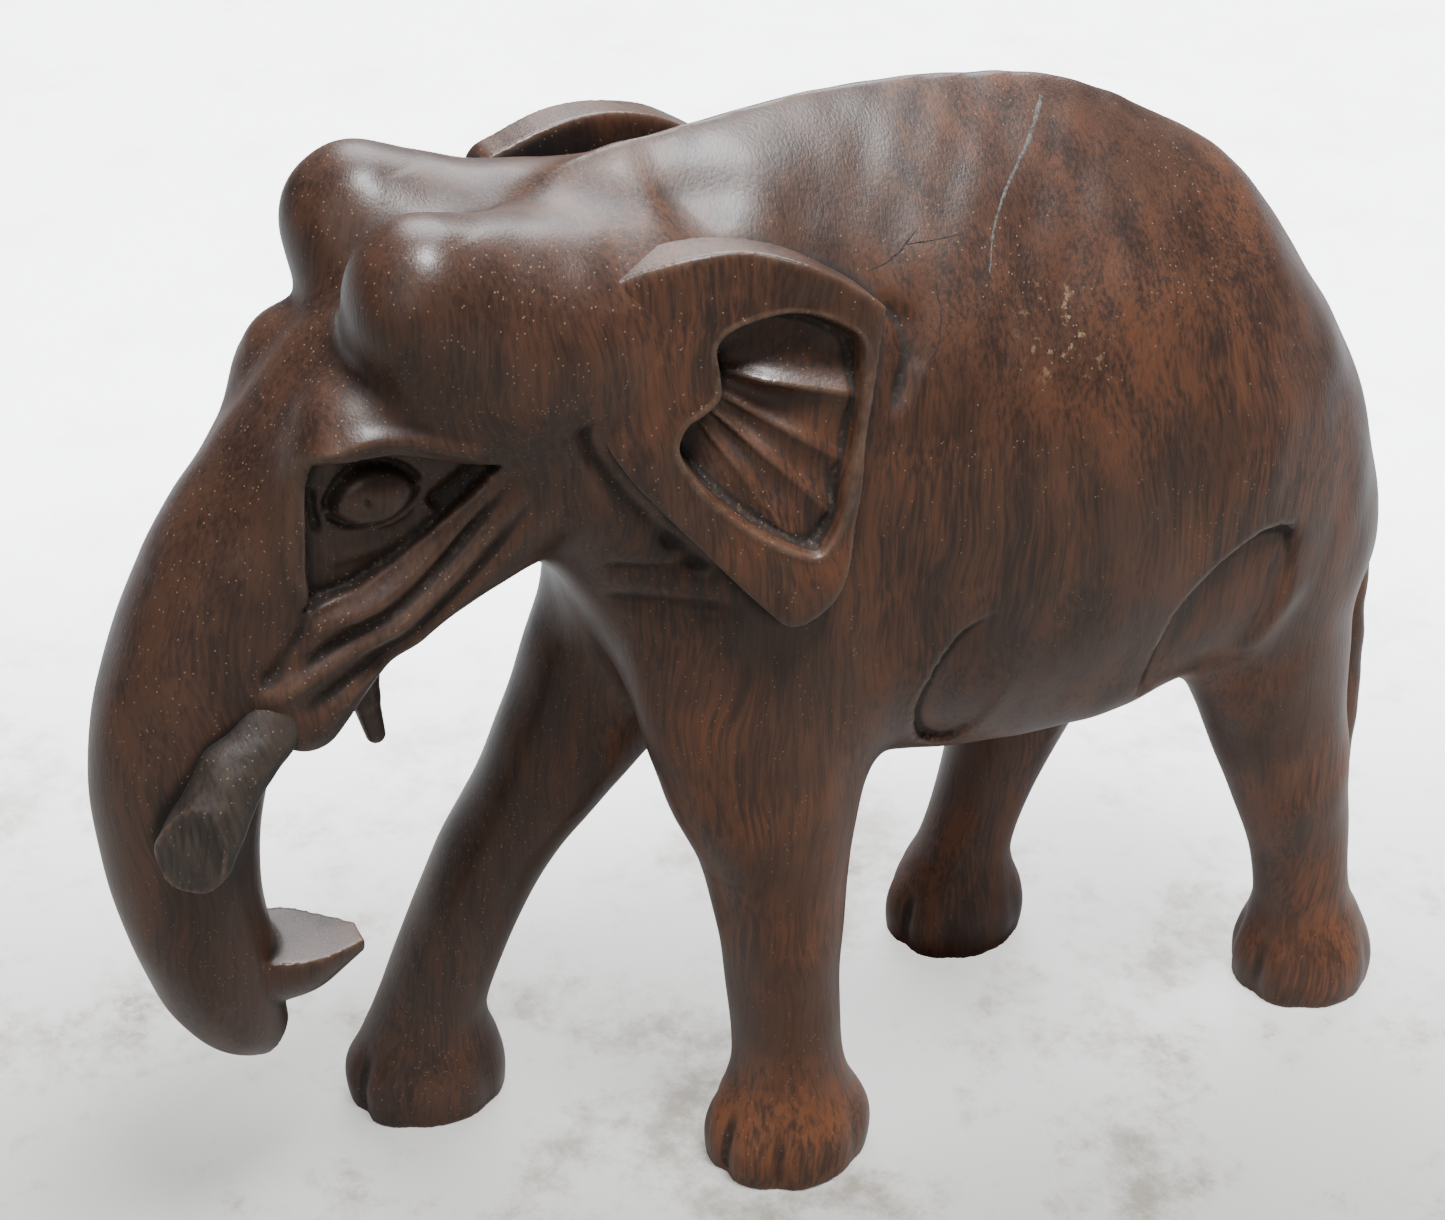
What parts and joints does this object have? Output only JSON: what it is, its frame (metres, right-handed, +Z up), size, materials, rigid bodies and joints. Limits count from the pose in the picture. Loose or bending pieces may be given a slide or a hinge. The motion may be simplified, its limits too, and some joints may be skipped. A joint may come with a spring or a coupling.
{
  "type": "carved wooden elephant",
  "caption": "Free-standing walking elephant figurine carved in dark hardwood, with a sharp spine ridge, domed forehead, plate ears, tusk stubs and a curled trunk tip.",
  "frame": {"origin": "on the ground at the middle of the bounding box", "axes": "+Z up, -Y the way the face looks, +X the elephant's left"},
  "size_m": [0.0402, 0.1349, 0.105],
  "materials": {
    "wood_body": "dark red-brown hardwood, hand polished and worn, satin",
    "wood_stub": "the same hardwood cut along the grain, matt and sawn at the end"
  },
  "bodies": {
    "root": {"torso": "wood_body", "head": "wood_body", "trunk": "wood_body", "lower_lip": "wood_body", "left_ear": "wood_body", "right_ear": "wood_body", "left_tusk": "wood_stub", "right_tusk": "wood_stub", "front_left_leg": "wood_body", "front_right_leg": "wood_body", "rear_left_leg": "wood_body", "rear_right_leg": "wood_body", "tail": "wood_body"}
  },
  "joints": []
}
